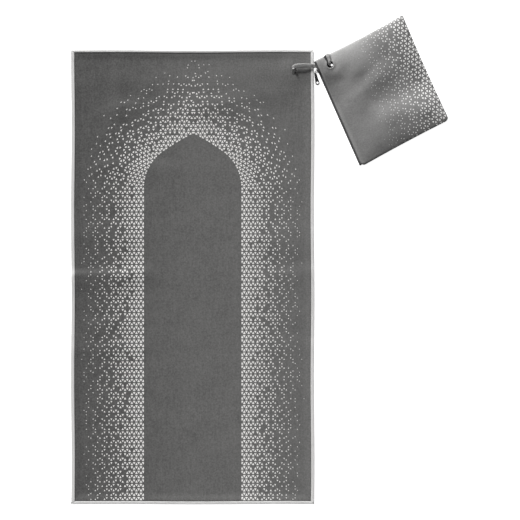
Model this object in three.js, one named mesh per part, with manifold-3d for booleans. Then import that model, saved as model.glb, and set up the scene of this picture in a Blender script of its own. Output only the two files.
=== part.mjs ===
// A thin travel prayer mat that lies open, with the zip pouch that it packs into tied to its corner.
// Millimetres. +X runs to the right, +Y towards the head of the mat and +Z up from the floor.
import * as THREE from "three";
import { mergeVertices } from "three/addons/utils/BufferGeometryUtils.js";
import Module from "manifold-3d";

const wasm = await Module();
wasm.setup();

// Driving dimensions of the mat. s runs across it from its left edge, t up it from its foot.
const GAP = 0.4; // clearance between pieces that lie against each other
const MAT = { left: -464.6, foot: -603.2, width: 600, length: 1120, thick: 1.5 };
const EDGE_WAVE = { side: 0.8, end: 0.6, period: 410 }; // how far the cut edges wander from straight

// The binding tape: folded over each edge, it shows this wide on each side of the mat.
const TAPE = {
  thick: 1, left: 8.6, right: 7.5, foot: 6.7, head: 6.3, chamfer: 0.4, mitre: 0.225,
};
const RIM_RAMP = { from: 8.5, middle: 16, to: 26 }; // the cloth comes down from the tape over this

// The soft ridges and troughs that packing and the band left in the mat: each follows a segment, with
// its own reach on the left of that way and on its right.
const MAT_FOLDS = [
  { s: 0, t: 565, toS: 135, toT: 567, height: 2.4, left: 9, right: 38 },
  { s: 135, t: 567, toS: 190, toT: 570, height: 0.8, left: 12, right: 24 },
  { s: 490, t: 562, toS: 600, toT: 573, height: 0.9, left: 14, right: 40 },
  { s: 0, t: 384, toS: 175, toT: 387, height: 0.7, left: 10, right: 24 },
  { s: 470, t: 385, toS: 600, toT: 389, height: 0.4, left: 14, right: 24 },
  { s: 70, t: 835, toS: 125, toT: 837, height: 1.2, left: 10, right: 26 },
  { s: 180, t: 836, toS: 240, toT: 833, height: 0.9, left: 12, right: 40 },
  { s: 20, t: 662, toS: 165, toT: 666, height: 1.1, left: 34, right: 36 },
  { s: 480, t: 655, toS: 590, toT: 656, height: 1.1, left: 40, right: 50 },
  { s: 60, t: 448, toS: 150, toT: 452, height: 0.7, left: 12, right: 26 },
  { s: 112, t: 979, toS: 150, toT: 980, height: 1.4, left: 13, right: 34 },
  { s: 300, t: 990, toS: 375, toT: 992, height: 1.1, left: 14, right: 34 },
  { s: 400, t: 966, toS: 470, toT: 960, height: 0.8, left: 14, right: 28 },
  { s: 30, t: 1040, toS: 300, toT: 1046, height: 0.8, left: 26, right: 30 },
  { s: 540, t: 1030, toS: 350, toT: 985, height: 1.9, left: 30, right: 80 },
  { s: 528, t: 1080, toS: 400, toT: 1052, height: 0.6, left: 24, right: 40 },
  { s: 116, t: 960, toS: 116, toT: 1090, height: 0.9, left: 14, right: 18 },
];

// The mat's eyelet, and the low hump over the strand of the band that runs under the mat.
const MAT_EYELET = { s: 552, t: 1070.5, radius: 4.8 };
const BAND_HUMP = { s: 600, t: 1080, height: 1.6, flat: 11, reach: 48 };

// The pouch's corners in plan. u runs from its zip side, v from its head edge down its zip side.
const POUCH = {
  zipHead: new THREE.Vector2(133.1, 488.5),
  farHead: new THREE.Vector2(352.9, 603.4),
  farFoot: new THREE.Vector2(468.4, 344.9),
  zipFoot: new THREE.Vector2(248.7, 227.5),
  thick: 1.2,
  seam: 6.2, // where the two panels begin, beside the zip
};
const PANEL_CORNERS = [
  { far: true, foot: true, radius: 11 },
  { far: false, foot: true, radius: 9 },
  { far: true, foot: false, radius: 4 },
];
const POUCH_WIDTH = POUCH.zipHead.distanceTo(POUCH.farHead);
const POUCH_HEIGHT = POUCH.zipHead.distanceTo(POUCH.zipFoot);
const DRAWN_IN = { head: 3.5, far: 2.2, foot: 1.6 }; // how far each sewn edge is pulled inwards
const CORNER_LIFT = { height: 7.6, reach: 125 }; // the zip's head corner rides on the mat and the band
const POUCH_EYELET = { u: 34.9, v: 25.7, radius: 8 };

// The front panel lies over the back one with a little air between them. It rises by full inside its
// sewn edges, over each edge's own distance, and more slowly beside the zip.
const PANEL_FULL = 4.6;
const PANEL_RISE = { head: 44, far: 22, foot: 60 };
const ZIP_SIDE = { from: 20, to: 58, least: 0.5 };
const PANEL_FOLDS = [
  { u: 166, v: 70, toU: 92, toV: 98, height: -1.6, left: 20, right: 24 },
  { u: 208, v: 160, toU: 110, toV: 157, height: -4.6, left: 50, right: 34 },
  { u: 205, v: 228, toU: 120, toV: 206, height: 0.8, left: 26, right: 26 },
  { u: 120, v: 116, toU: 14, toV: 148, height: 1.7, left: 24, right: 34 },
  { u: 50, v: 78, toU: 14, toV: 72, height: -0.9, left: 16, right: 18 },
  { u: 40, v: 50, toU: 20, toV: 42, height: 1.1, left: 12, right: 12 },
];

// The zip: a closed chain with its tape, a slider with a side bail, a link and a pull tab.
const ZIP = { chain: 4, tape: 18, chainLow: 0.9, chainHigh: 3.1, tapeLow: 1.7, tapeHigh: 2.5 };
const CHAIN = { chamfer: 0.6, from: 2, shortOfFoot: 4, stations: [14, 26, 50], step: 26 };
const SLIDER = { v: 26.5, length: 11, half: 3.6, low: -0.7, high: 4.7, wall: 1.2, chamfer: 0.8, slot: 2.3 };
const BAIL = { root: 3.1, reach: 6.5, wire: 0.9, half: 3.2, low: 1.5, high: 2.5 };
const LINK = { out: 6.75, height: 2, radius: 2, wire: 0.4 };
const PULL = {
  length: 33,
  eye: 2.3,
  eyeHole: 1.5,
  eyeEnd: 1.5, // where the eye's sides begin to widen into the neck
  neck: 2.9,
  neckEnd: 5,
  tip: 5,
  tipHole: 2.3,
  tipHoleAt: 27,
  thick: 1.3,
  out: 9.2, // from the chain's middle to the eye's middle
  turn: 14, // how far it swings from along the zip, in degrees
  clear: 0.1, // its tip's height over the floor
};

// The band's closed route. Rows on the mat give s and t, rows on the pouch give u and v. turn is the
// direction in plan of the band's width and tilt is how far that width leans up, both in degrees.
const BAND = [
  { on: "mat", a: 553.4, b: 1071, z: 0.85, width: 6.6, thick: 1.4, turn: 90, tilt: 0 },
  { on: "mat", a: 559, b: 1072.2, z: 0.6, width: 7.5, thick: 1, turn: 90, tilt: 0 },
  { on: "mat", a: 568, b: 1074.5, z: 0.6, width: 9, thick: 1, turn: 96, tilt: 0 },
  { on: "mat", a: 583, b: 1078, z: 0.6, width: 9.5, thick: 1, turn: 96, tilt: 0 },
  { on: "mat", a: 600, b: 1080, z: 0.6, width: 9, thick: 1, turn: 88, tilt: 0 },
  { on: "pouch", a: 12, b: 17, z: 0.6, width: 9, thick: 1, turn: 84, tilt: 0 },
  { on: "pouch", a: 21, b: 22.5, z: 0.9, width: 8, thick: 1.1, turn: 90, tilt: 0 },
  { on: "pouch", a: 30.6, b: 26.6, z: 3, width: 6.4, thick: 1.6, turn: 108, tilt: 0 },
  { on: "pouch", a: 32.6, b: 26, z: 7, width: 5.4, thick: 2, turn: 146, tilt: 0 },
  { on: "pouch", a: 33.6, b: 23.8, z: 11.1, width: 5.6, thick: 2, turn: 186, tilt: 0 },
  { on: "pouch", a: 34.6, b: 18, z: 13.1, width: 8, thick: 1.7, turn: 202, tilt: 0 },
  { on: "pouch", a: 35.8, b: 10, z: 12.9, width: 10.5, thick: 1.4, turn: 207, tilt: 0 },
  { on: "pouch", a: 36.6, b: 3.4, z: 12.7, width: 11, thick: 1.4, turn: 208, tilt: 0 },
  { on: "pouch", a: 36.8, b: -1, z: 11.3, width: 11, thick: 1.4, turn: 208, tilt: 0 },
  { on: "pouch", a: 36.8, b: -2.8, z: 8.4, width: 11, thick: 1.4, turn: 208, tilt: 0 },
  { on: "pouch", a: 36.6, b: -1.2, z: 5.4, width: 10.5, thick: 1.3, turn: 208, tilt: 0 },
  { on: "pouch", a: 36, b: 2.8, z: 4.5, width: 10, thick: 1.3, turn: 204, tilt: 0 },
  { on: "pouch", a: 31.6, b: 8.4, z: 4.3, width: 8.5, thick: 1.3, turn: 184, tilt: 0 },
  { on: "pouch", a: 20, b: 12, z: 4.4, width: 8, thick: 1.3, turn: 140, tilt: 0 },
  { on: "pouch", a: 9, b: 12.8, z: 5.3, width: 8, thick: 1.3, turn: 112, tilt: 0 },
  { on: "mat", a: 601.5, b: 1080, z: 7.3, width: 8.5, thick: 1.3, turn: 92, tilt: 2 },
  { on: "mat", a: 594, b: 1080.3, z: 9.1, width: 9.4, thick: 1.6, turn: 90, tilt: 8 },
  { on: "mat", a: 582, b: 1080.6, z: 9.7, width: 9.6, thick: 1.8, turn: 90, tilt: 13 },
  { on: "mat", a: 567, b: 1080.6, z: 10.3, width: 9.6, thick: 1.8, turn: 90, tilt: 15 },
  { on: "mat", a: 555, b: 1079, z: 10, width: 9.2, thick: 1.8, turn: 94, tilt: 13 },
  { on: "mat", a: 548.6, b: 1075, z: 9.3, width: 8.2, thick: 2, turn: 100, tilt: 8 },
  { on: "mat", a: 549.6, b: 1071.4, z: 6.9, width: 7, thick: 2.6, turn: 94, tilt: 0 },
  { on: "mat", a: 551, b: 1070.8, z: 3, width: 6.4, thick: 2.6, turn: 90, tilt: 0 },
];
const BAND_STEPS = 100;
const BAND_SIDES = 8;

// Surfaces that more than one piece follows

const { clamp, degToRad, lerp, smoothstep } = THREE.MathUtils;

// The distance from a point to the segment between two others, all in plan.
function toSegment(x, y, x0, y0, x1, y1) {
  const along = clamp(
    ((x - x0) * (x1 - x0) + (y - y0) * (y1 - y0)) / ((x1 - x0) ** 2 + (y1 - y0) ** 2),
    0,
    1,
  );
  return Math.hypot(x - lerp(x0, x1, along), y - lerp(y0, y1, along));
}

// The height at a point of a soft ridge, or of a trough where height is negative, along the segment
// between two others. left and right are its reaches on each side of the way along it.
function fold(x, y, x0, y0, x1, y1, { height, left, right }) {
  const away = toSegment(x, y, x0, y0, x1, y1);
  const turn = (x1 - x0) * (y - y0) - (y1 - y0) * (x - x0);
  const side = turn / (Math.hypot(x1 - x0, y1 - y0) * Math.max(away, 1e-9));
  const reach = (left + right) / 2 + ((left - right) / 2) * clamp(side, -1, 1);
  return height * Math.exp(-((away / reach) ** 2));
}

// How far folds and the band lift the mat, its tape included, off the floor.
function matLift(s, t) {
  let lift = 0;
  for (const f of MAT_FOLDS) lift += fold(s, t, f.s, f.t, f.toS, f.toT, f);
  const b = BAND_HUMP;
  const away = toSegment(s, t, MAT_EYELET.s, MAT_EYELET.t, b.s, b.t);
  return lift + b.height * (1 - smoothstep(away, b.flat, b.reach));
}

// A point of the mat, its edges wandering a little, at a height over the floor.
function onMat(s, t, z) {
  const side = EDGE_WAVE.side * Math.sin((2 * Math.PI * t) / EDGE_WAVE.period);
  const end = EDGE_WAVE.end * Math.sin((2 * Math.PI * s) / EDGE_WAVE.period);
  return new THREE.Vector3(MAT.left + s + side, MAT.foot + t + end, z);
}

// A point of the pouch in plan, from u and v: its four corners blended, its edges drawn in.
function pouchPlan(u, v) {
  const x = u / POUCH_WIDTH;
  const y = v / POUCH_HEIGHT;
  const head = POUCH.zipHead.clone().lerp(POUCH.farHead, x);
  const foot = POUCH.zipFoot.clone().lerp(POUCH.farFoot, x);
  const down = POUCH.zipFoot.clone().sub(POUCH.zipHead).normalize();
  const out = POUCH.farHead.clone().sub(POUCH.zipHead).normalize();
  const bowX = 4 * clamp(x, 0, 1) * (1 - clamp(x, 0, 1));
  const bowY = 4 * clamp(y, 0, 1) * (1 - clamp(y, 0, 1));
  const p = head.lerp(foot, y);
  p.addScaledVector(down, bowX * (DRAWN_IN.head * (1 - y) - DRAWN_IN.foot * y));
  return p.addScaledVector(out, -DRAWN_IN.far * bowY * x);
}

// How far the mat's edge and the band lift the pouch off the floor at a point in plan.
function pouchLift(p) {
  const away = Math.min(1, p.distanceTo(POUCH.zipHead) / CORNER_LIFT.reach);
  return CORNER_LIFT.height * (0.5 + 0.5 * Math.cos(Math.PI * away));
}

// A point of the pouch at a height over its own underside.
function onPouch(u, v, height) {
  const p = pouchPlan(u, v);
  return new THREE.Vector3(p.x, p.y, pouchLift(p) + height);
}

// 0 at an edge, curving over to 1 once it is reach inside.
function rise(inside, reach) {
  return 1 - (1 - clamp(inside / reach, 0, 1)) ** 2;
}

// The underside of the front panel over the pouch's underside: it clears the zip's tape, rises inside
// its sewn edges and carries the folds.
function frontHeight(u, v) {
  const seam = POUCH.thick + GAP;
  const overTape = ZIP.tapeHigh + GAP - seam;
  const sewn =
    rise(v, PANEL_RISE.head) *
    rise(POUCH_HEIGHT - v, PANEL_RISE.foot) *
    rise(POUCH_WIDTH - u, PANEL_RISE.far);
  let full = PANEL_FULL;
  for (const f of PANEL_FOLDS) full += fold(u, v, f.u, f.v, f.toU, f.toV, f);
  const zipSide = 1 - smoothstep(u, ZIP_SIDE.from, ZIP_SIDE.to);
  return seam + overTape * zipSide + sewn * Math.max(full, 0.05) * (1 - ZIP_SIDE.least * zipSide);
}

// Making solids

// Marks in order, with even fill between those that lie further apart than step.
function gridLines(marks, step) {
  const sorted = [...new Set(marks)].sort((a, b) => a - b);
  const lines = [sorted[0]];
  for (let i = 1; i < sorted.length; i++) {
    const from = sorted[i - 1];
    const count = Math.ceil((sorted[i] - from) / step);
    for (let k = 1; k <= count; k++) {
      lines.push(lerp(from, sorted[i], k / count));
    }
  }
  return lines;
}

// The geometry with shared vertices merged and its faces turned outwards.
function closed(geometry) {
  geometry.deleteAttribute("normal");
  geometry.deleteAttribute("uv");
  const merged = mergeVertices(geometry, 1e-4);
  const p = merged.getAttribute("position");
  const index = merged.getIndex().array;
  const [a, b, c] = [new THREE.Vector3(), new THREE.Vector3(), new THREE.Vector3()];
  let volume = 0;
  for (let i = 0; i < index.length; i += 3) {
    a.fromBufferAttribute(p, index[i]);
    b.fromBufferAttribute(p, index[i + 1]);
    c.fromBufferAttribute(p, index[i + 2]);
    volume += a.dot(b.cross(c));
  }
  if (volume < 0) {
    for (let i = 0; i < index.length; i += 3) {
      [index[i + 1], index[i + 2]] = [index[i + 2], index[i + 1]];
    }
  }
  return merged;
}

// Moves each vertex of a geometry to where place puts it.
function reshape(geometry, place) {
  const p = geometry.getAttribute("position");
  for (let i = 0; i < p.count; i++) {
    const q = place(p.getX(i), p.getY(i), p.getZ(i), i);
    p.setXYZ(i, q.x, q.y, q.z);
  }
  return closed(geometry);
}

// A sheet over a grid of lines; place gets the two line values and 0 for the underside or 1 for the top.
function sheet(across, along, place) {
  const [m, n] = [across.length - 1, along.length - 1];
  return reshape(new THREE.BoxGeometry(1, 1, 1, m, n, 1), (x, y, z) =>
    place(across[Math.round((x + 0.5) * m)], along[Math.round((y + 0.5) * n)], z > 0 ? 1 : 0),
  );
}

// A strip with an even section, given as [distance, height] points, through stations along its length.
function strip(section, stations, place) {
  const outline = new THREE.Shape(section.map(([d, h]) => new THREE.Vector2(d, h)));
  const steps = stations.length - 1;
  const geometry = new THREE.ExtrudeGeometry(outline, { depth: steps, steps, bevelEnabled: false });
  return reshape(geometry, (d, h, k) => place(d, h, Math.round(k), stations[Math.round(k)]));
}

function toSolid(geometry) {
  const g = closed(geometry);
  return new wasm.Manifold(
    new wasm.Mesh({
      numProp: 3,
      vertProperties: new Float32Array(g.getAttribute("position").array),
      triVerts: new Uint32Array(g.getIndex().array),
    }),
  );
}

function toGeometry(solid) {
  const m = solid.getMesh();
  const geometry = new THREE.BufferGeometry();
  geometry.setAttribute("position", new THREE.BufferAttribute(m.vertProperties, 3));
  geometry.setIndex(new THREE.BufferAttribute(m.triVerts, 1));
  geometry.computeVertexNormals();
  return geometry;
}

// An upright round plug, to cut an eyelet with.
function plug(x, y, radius) {
  const circle = new THREE.Shape().absarc(0, 0, radius, 0, 2 * Math.PI);
  const geometry = new THREE.ExtrudeGeometry(circle, { depth: 40, bevelEnabled: false, curveSegments: 10 });
  return geometry.translate(x, y, -10);
}

function cut(geometry, tool) {
  return toGeometry(toSolid(geometry).subtract(toSolid(tool)));
}

// The mat

const edge = TAPE.thick + GAP; // from the bound edge in to the cloth's own edge

// Where the mat's grid has lines: closer beside each fold's crest and round the eyelet.
const MAT_FILL = { side: 60, end: 60 };
const SIDE_MARKS = [95, 107, 116, 125, 140, 160, 190, 225, 350, 400, 440, 475, 505, 530];
const EYELET_MARKS = [542, 562, 572, 584];
const FOLD_MARKS = [
  [335, 362, 376, 385, 393, 404],
  [430, 450, 463, 476],
  [510, 530, 548, 558, 566, 574, 585],
  [622, 645, 664, 678],
  [800, 818, 836, 848, 862],
  [936, 952, 967, 979, 990, 1003, 1018],
  [1034, 1047, 1060, 1072, 1083, 1094],
];
const SIDE_LINES = gridLines(
  [
    edge,
    TAPE.left,
    RIM_RAMP.middle,
    RIM_RAMP.to,
    ...SIDE_MARKS,
    ...EYELET_MARKS,
    MAT.width - TAPE.right,
    MAT.width - edge,
  ],
  MAT_FILL.side,
);
const END_LINES = gridLines(
  [
    edge,
    TAPE.foot,
    RIM_RAMP.middle,
    RIM_RAMP.to,
    ...FOLD_MARKS.flat(),
    MAT.length - RIM_RAMP.middle,
    MAT.length - TAPE.head,
    MAT.length - edge,
  ],
  MAT_FILL.end,
);

function matCloth() {
  const geometry = sheet(SIDE_LINES, END_LINES, (s, t, top) => {
    const inside = Math.min(s, MAT.width - s, t, MAT.length - t);
    const rim = edge * (1 - smoothstep(inside, RIM_RAMP.from, RIM_RAMP.to));
    return onMat(s, t, matLift(s, t) + rim + top * MAT.thick);
  });
  const eyelet = onMat(MAT_EYELET.s, MAT_EYELET.t, 0);
  return cut(geometry, plug(eyelet.x, eyelet.y, MAT_EYELET.radius));
}

// The tape's section: a channel round the cloth's edge, as wide as it shows.
function channel(width) {
  const inner = TAPE.thick;
  const outer = 2 * edge + MAT.thick;
  const soft = TAPE.chamfer;
  return [
    [0, soft],
    [soft, 0],
    [width, 0],
    [width, inner],
    [inner, inner],
    [inner, outer - inner],
    [width, outer - inner],
    [width, outer],
    [soft, outer],
    [0, outer - soft],
  ];
}

// One length of binding with mitred ends. near and far are the widths of the tapes that it meets, and
// toMat turns distance in from the edge and distance along it into s and t.
function binding(width, near, far, lines, length, toMat) {
  const inner = lines.filter((at) => at >= RIM_RAMP.middle && at <= length - RIM_RAMP.middle);
  const stations = [0, ...inner, length];
  const { mitre } = TAPE;
  return strip(channel(width), stations, (d, h, k, station) => {
    let along = station;
    if (k === 0) along = (d * near) / width + mitre;
    if (k === stations.length - 1) along = length - (d * far) / width - mitre;
    const [s, t] = toMat(d, along);
    return onMat(s, t, matLift(s, t) + h);
  });
}

// The pouch

// Moves a point of the panels that is near one of their rounded corners in onto its arc.
function roundCorner(u, v) {
  for (const c of PANEL_CORNERS) {
    const fx = c.radius - (c.far ? POUCH_WIDTH - u : u - POUCH.seam);
    const fy = c.radius - (c.foot ? POUCH_HEIGHT - v : v);
    if (fx > 0 && fy > 0) {
      const shrink = Math.max(fx, fy) / Math.hypot(fx, fy);
      const fromSide = c.radius - fx * shrink;
      const fromEnd = c.radius - fy * shrink;
      return [
        c.far ? POUCH_WIDTH - fromSide : POUCH.seam + fromSide,
        c.foot ? POUCH_HEIGHT - fromEnd : fromEnd,
      ];
    }
  }
  return [u, v];
}

const PANEL_FILL = 20;
const PANEL_ACROSS = gridLines(
  [
    POUCH.seam,
    POUCH.seam + 3,
    POUCH.seam + 9,
    POUCH_EYELET.u,
    48,
    62,
    POUCH_WIDTH - PANEL_RISE.far,
    POUCH_WIDTH - 10,
    POUCH_WIDTH - 3,
    POUCH_WIDTH,
  ],
  PANEL_FILL,
);
const PANEL_DOWN = gridLines(
  [
    0,
    3,
    8,
    PANEL_RISE.head,
    POUCH_EYELET.v,
    38,
    50,
    POUCH_HEIGHT - PANEL_RISE.foot,
    POUCH_HEIGHT - 10,
    POUCH_HEIGHT - 3,
    POUCH_HEIGHT,
  ],
  PANEL_FILL,
);

function panel(underside) {
  const geometry = sheet(PANEL_ACROSS, PANEL_DOWN, (u, v, top) => {
    const [ru, rv] = roundCorner(u, v);
    return onPouch(ru, rv, underside(u, v) + top * POUCH.thick);
  });
  const eyelet = pouchPlan(POUCH_EYELET.u, POUCH_EYELET.v);
  return cut(geometry, plug(eyelet.x, eyelet.y, POUCH_EYELET.radius));
}

// The closed chain of the zip along the pouch's side, with the tape that is sewn between the panels.
function zipChain() {
  const z = ZIP;
  const soft = CHAIN.chamfer;
  const section = [
    [0, z.chainLow + soft],
    [soft, z.chainLow],
    [z.chain, z.chainLow],
    [z.chain, z.tapeLow],
    [z.tape, z.tapeLow],
    [z.tape, z.tapeHigh],
    [z.chain, z.tapeHigh],
    [z.chain, z.chainHigh],
    [soft, z.chainHigh],
    [0, z.chainHigh - soft],
  ];
  const marks = [CHAIN.from, ...CHAIN.stations, POUCH_HEIGHT - CHAIN.shortOfFoot];
  return strip(section, gridLines(marks, CHAIN.step), (u, h, k, v) => onPouch(u, v, h));
}

// The slider's body and bail. x points out from the pouch, y down along the zip.
function slider() {
  const { half, low, high, wall, slot, length, chamfer } = SLIDER;
  const body = new THREE.Shape();
  body.moveTo(-half, low);
  body.lineTo(half - chamfer, low);
  body.lineTo(half, low + chamfer);
  body.lineTo(half, high - chamfer);
  body.lineTo(half - chamfer, high);
  body.lineTo(-half, high);
  body.lineTo(-half, high - wall);
  body.lineTo(slot, high - wall);
  body.lineTo(slot, low + wall);
  body.lineTo(-half, low + wall);
  body.closePath();
  const bodySolid = new THREE.ExtrudeGeometry(body, { depth: length, bevelEnabled: false });
  bodySolid.rotateX(Math.PI / 2).translate(0, length / 2, 0);
  const b = BAIL;
  const bail = new THREE.Shape();
  bail.moveTo(b.root, -b.half);
  bail.lineTo(b.reach - chamfer, -b.half);
  bail.lineTo(b.reach, -b.half + chamfer);
  bail.lineTo(b.reach, b.half - chamfer);
  bail.lineTo(b.reach - chamfer, b.half);
  bail.lineTo(b.root, b.half);
  bail.lineTo(b.root, b.half - b.wire);
  bail.lineTo(b.reach - b.wire, b.half - b.wire);
  bail.lineTo(b.reach - b.wire, -b.half + b.wire);
  bail.lineTo(b.root, -b.half + b.wire);
  bail.closePath();
  const bailSolid = new THREE.ExtrudeGeometry(bail, { depth: b.high - b.low, bevelEnabled: false });
  bailSolid.translate(0, 0, b.low);
  return toGeometry(toSolid(bodySolid).add(toSolid(bailSolid)));
}

function link() {
  const geometry = new THREE.TorusGeometry(LINK.radius, LINK.wire, 8, 20);
  geometry.rotateX(Math.PI / 2);
  return closed(geometry);
}

// The pull tab, flat in x and y, its eye at the origin and its tip down -y.
function pull() {
  const p = PULL;
  const shape = new THREE.Shape();
  shape.moveTo(-p.neck, -p.neckEnd);
  shape.lineTo(-p.tip, -(p.length - p.tip));
  shape.absarc(0, -(p.length - p.tip), p.tip, Math.PI, 2 * Math.PI, false);
  shape.lineTo(p.neck, -p.neckEnd);
  shape.lineTo(p.eye, -p.eyeEnd);
  shape.absarc(0, 0, p.eye, 0, Math.PI, false);
  shape.lineTo(-p.eye, -p.eyeEnd);
  shape.closePath();
  shape.holes.push(new THREE.Path().absarc(0, 0, p.eyeHole, 0, 2 * Math.PI, true));
  shape.holes.push(new THREE.Path().absarc(0, -p.tipHoleAt, p.tipHole, 0, 2 * Math.PI, true));
  const geometry = new THREE.ExtrudeGeometry(shape, {
    depth: p.thick,
    bevelEnabled: false,
    curveSegments: 6,
  });
  return closed(geometry.translate(0, 0, -p.thick / 2));
}

// The band, a soft strap sewn into a ring, through both eyelets and round the pouch's head edge.
function band() {
  const places = BAND.map((row) => {
    if (row.on === "mat") return onMat(row.a, row.b, row.z);
    const p = pouchPlan(row.a, row.b);
    return new THREE.Vector3(p.x, p.y, row.z);
  });
  const route = new THREE.CatmullRomCurve3(places, true, "centripetal");
  const sizes = new THREE.CatmullRomCurve3(
    BAND.map((row) => new THREE.Vector3(row.width, row.thick, row.tilt)),
    true,
    "catmullrom",
  );
  const turns = new THREE.CatmullRomCurve3(
    BAND.map((row) => new THREE.Vector3(row.turn, 0, 0)),
    true,
    "catmullrom",
  );
  const geometry = new THREE.TorusGeometry(2, 1, BAND_SIDES, BAND_STEPS);
  const uv = geometry.getAttribute("uv").clone();
  return reshape(geometry, (x, y, z, i) => {
    const at = uv.getX(i) % 1;
    const angle = 2 * Math.PI * (uv.getY(i) % 1) + Math.PI / BAND_SIDES;
    const tangent = route.getTangent(at);
    const size = sizes.getPoint(at);
    const turn = degToRad(turns.getPoint(at).x);
    const tilt = degToRad(size.z);
    const wide = new THREE.Vector3(Math.cos(turn), Math.sin(turn), Math.tan(tilt));
    wide.addScaledVector(tangent, -wide.dot(tangent)).normalize();
    const thick = tangent.clone().cross(wide);
    const [c, d] = [Math.cos(angle), Math.sin(angle)];
    const across = 0.5 * size.x * Math.sign(c) * Math.abs(c) ** 0.5;
    const up = 0.5 * size.y * Math.sign(d) * Math.abs(d) ** 0.5;
    return route.getPoint(at).addScaledVector(wide, across).addScaledVector(thick, up);
  });
}

// Materials and the assembled part

const CLOTH = new THREE.MeshStandardMaterial({ color: 0x636260, roughness: 0.95, metalness: 0 });
const TAPE_CLOTH = new THREE.MeshStandardMaterial({ color: 0xd9d9d6, roughness: 0.9, metalness: 0 });
const POUCH_CLOTH = new THREE.MeshStandardMaterial({ color: 0x7b7977, roughness: 0.9, metalness: 0 });
const BAND_CLOTH = new THREE.MeshStandardMaterial({ color: 0x6f6e6c, roughness: 0.85, metalness: 0 });
const ZIP_COIL = new THREE.MeshStandardMaterial({ color: 0x33332f, roughness: 0.6, metalness: 0 });
const METAL = new THREE.MeshStandardMaterial({ color: 0x5a5a58, roughness: 0.35, metalness: 0.9 });

function piece(name, geometry, material) {
  const mesh = new THREE.Mesh(geometry, material.clone());
  mesh.name = name;
  return mesh;
}

const mat = new THREE.Group();
const { width: W, length: L } = MAT;
mat.add(piece("mat_cloth", matCloth(), CLOTH));
mat.add(
  piece(
    "binding_left",
    binding(TAPE.left, TAPE.foot, TAPE.head, END_LINES, L, (d, a) => [d, a]),
    TAPE_CLOTH,
  ),
  piece(
    "binding_right",
    binding(TAPE.right, TAPE.foot, TAPE.head, END_LINES, L, (d, a) => [W - d, a]),
    TAPE_CLOTH,
  ),
  piece(
    "binding_foot",
    binding(TAPE.foot, TAPE.left, TAPE.right, SIDE_LINES, W, (d, a) => [a, d]),
    TAPE_CLOTH,
  ),
  piece(
    "binding_head",
    binding(TAPE.head, TAPE.left, TAPE.right, SIDE_LINES, W, (d, a) => [a, L - d]),
    TAPE_CLOTH,
  ),
);

const pouch = new THREE.Group();
pouch.add(
  piece("pouch_back", panel(() => 0), POUCH_CLOTH),
  piece("pouch_front", panel(frontHeight), POUCH_CLOTH),
  piece("zip_chain", zipChain(), ZIP_COIL),
);

// The slider's own group: x points out from the pouch, y down along the zip, tilted as the chain lies.
const sliderPlace = onPouch(ZIP.chain / 2, SLIDER.v, 0);
const sliderHead = onPouch(ZIP.chain / 2, SLIDER.v - SLIDER.length / 2, 0);
const sliderFoot = onPouch(ZIP.chain / 2, SLIDER.v + SLIDER.length / 2, 0);
const alongZip = sliderFoot.clone().sub(sliderHead).normalize();
const upFromZip = new THREE.Vector3(0, 0, 1).addScaledVector(alongZip, -alongZip.z).normalize();
const outward = alongZip.clone().cross(upFromZip);
const sliderFrame = new THREE.Matrix4().makeBasis(outward, alongZip, upFromZip).setPosition(sliderPlace);
const zipHardware = new THREE.Group();
zipHardware.applyMatrix4(sliderFrame);
zipHardware.add(piece("zip_slider", slider(), METAL));
const linkMesh = piece("zip_link", link(), METAL);
linkMesh.position.set(LINK.out, 0, LINK.height);
zipHardware.add(linkMesh);
pouch.add(zipHardware);

// The pull tab leans down from the link until its tip lies on the floor.
zipHardware.updateMatrixWorld(true);
const pullMesh = piece("zip_pull", pull(), METAL);
pullMesh.position.copy(zipHardware.localToWorld(new THREE.Vector3(PULL.out, 0, LINK.height)));
const pullDrop = Math.asin((pullMesh.position.z - PULL.thick / 2 - PULL.clear) / PULL.length);
pullMesh.rotation.set(pullDrop, 0, degToRad(PULL.turn), "ZXY");
pouch.add(pullMesh);

const part = new THREE.Group();
part.add(mat, pouch, piece("tie_band", band(), BAND_CLOTH));

// The origin is the middle of the whole footprint, on the floor.
part.updateMatrixWorld(true);
const box = new THREE.Box3().setFromObject(part, true);
part.position.set(-(box.min.x + box.max.x) / 2, -(box.min.y + box.max.y) / 2, 0);

export default part;
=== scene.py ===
"""A thin travel prayer mat lying open, its zip pouch tied to its corner, seen from straight above.

Lengths are in millimetres unless a name says otherwise, and meshes are made in metres. +X runs to the
right, +Y towards the head of the mat and +Z up from the floor.
"""

import math

import bmesh
import bpy
import numpy as np
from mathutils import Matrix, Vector, noise


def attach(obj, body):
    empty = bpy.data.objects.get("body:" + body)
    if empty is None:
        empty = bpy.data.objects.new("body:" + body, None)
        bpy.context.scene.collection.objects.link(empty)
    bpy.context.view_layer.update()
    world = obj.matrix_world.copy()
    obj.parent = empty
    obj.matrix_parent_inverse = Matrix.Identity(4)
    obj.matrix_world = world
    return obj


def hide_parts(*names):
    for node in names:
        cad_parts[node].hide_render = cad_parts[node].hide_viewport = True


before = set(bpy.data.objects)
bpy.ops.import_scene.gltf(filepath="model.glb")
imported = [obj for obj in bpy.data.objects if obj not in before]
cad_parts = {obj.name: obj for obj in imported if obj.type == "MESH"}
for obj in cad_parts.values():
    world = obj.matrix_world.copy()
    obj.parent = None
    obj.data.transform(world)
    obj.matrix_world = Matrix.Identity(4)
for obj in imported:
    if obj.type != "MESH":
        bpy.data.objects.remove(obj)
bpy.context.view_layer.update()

MM = 0.001
SHIFT = (0.419, 1.034)  # moves the drawing's origin to the middle of the footprint

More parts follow.
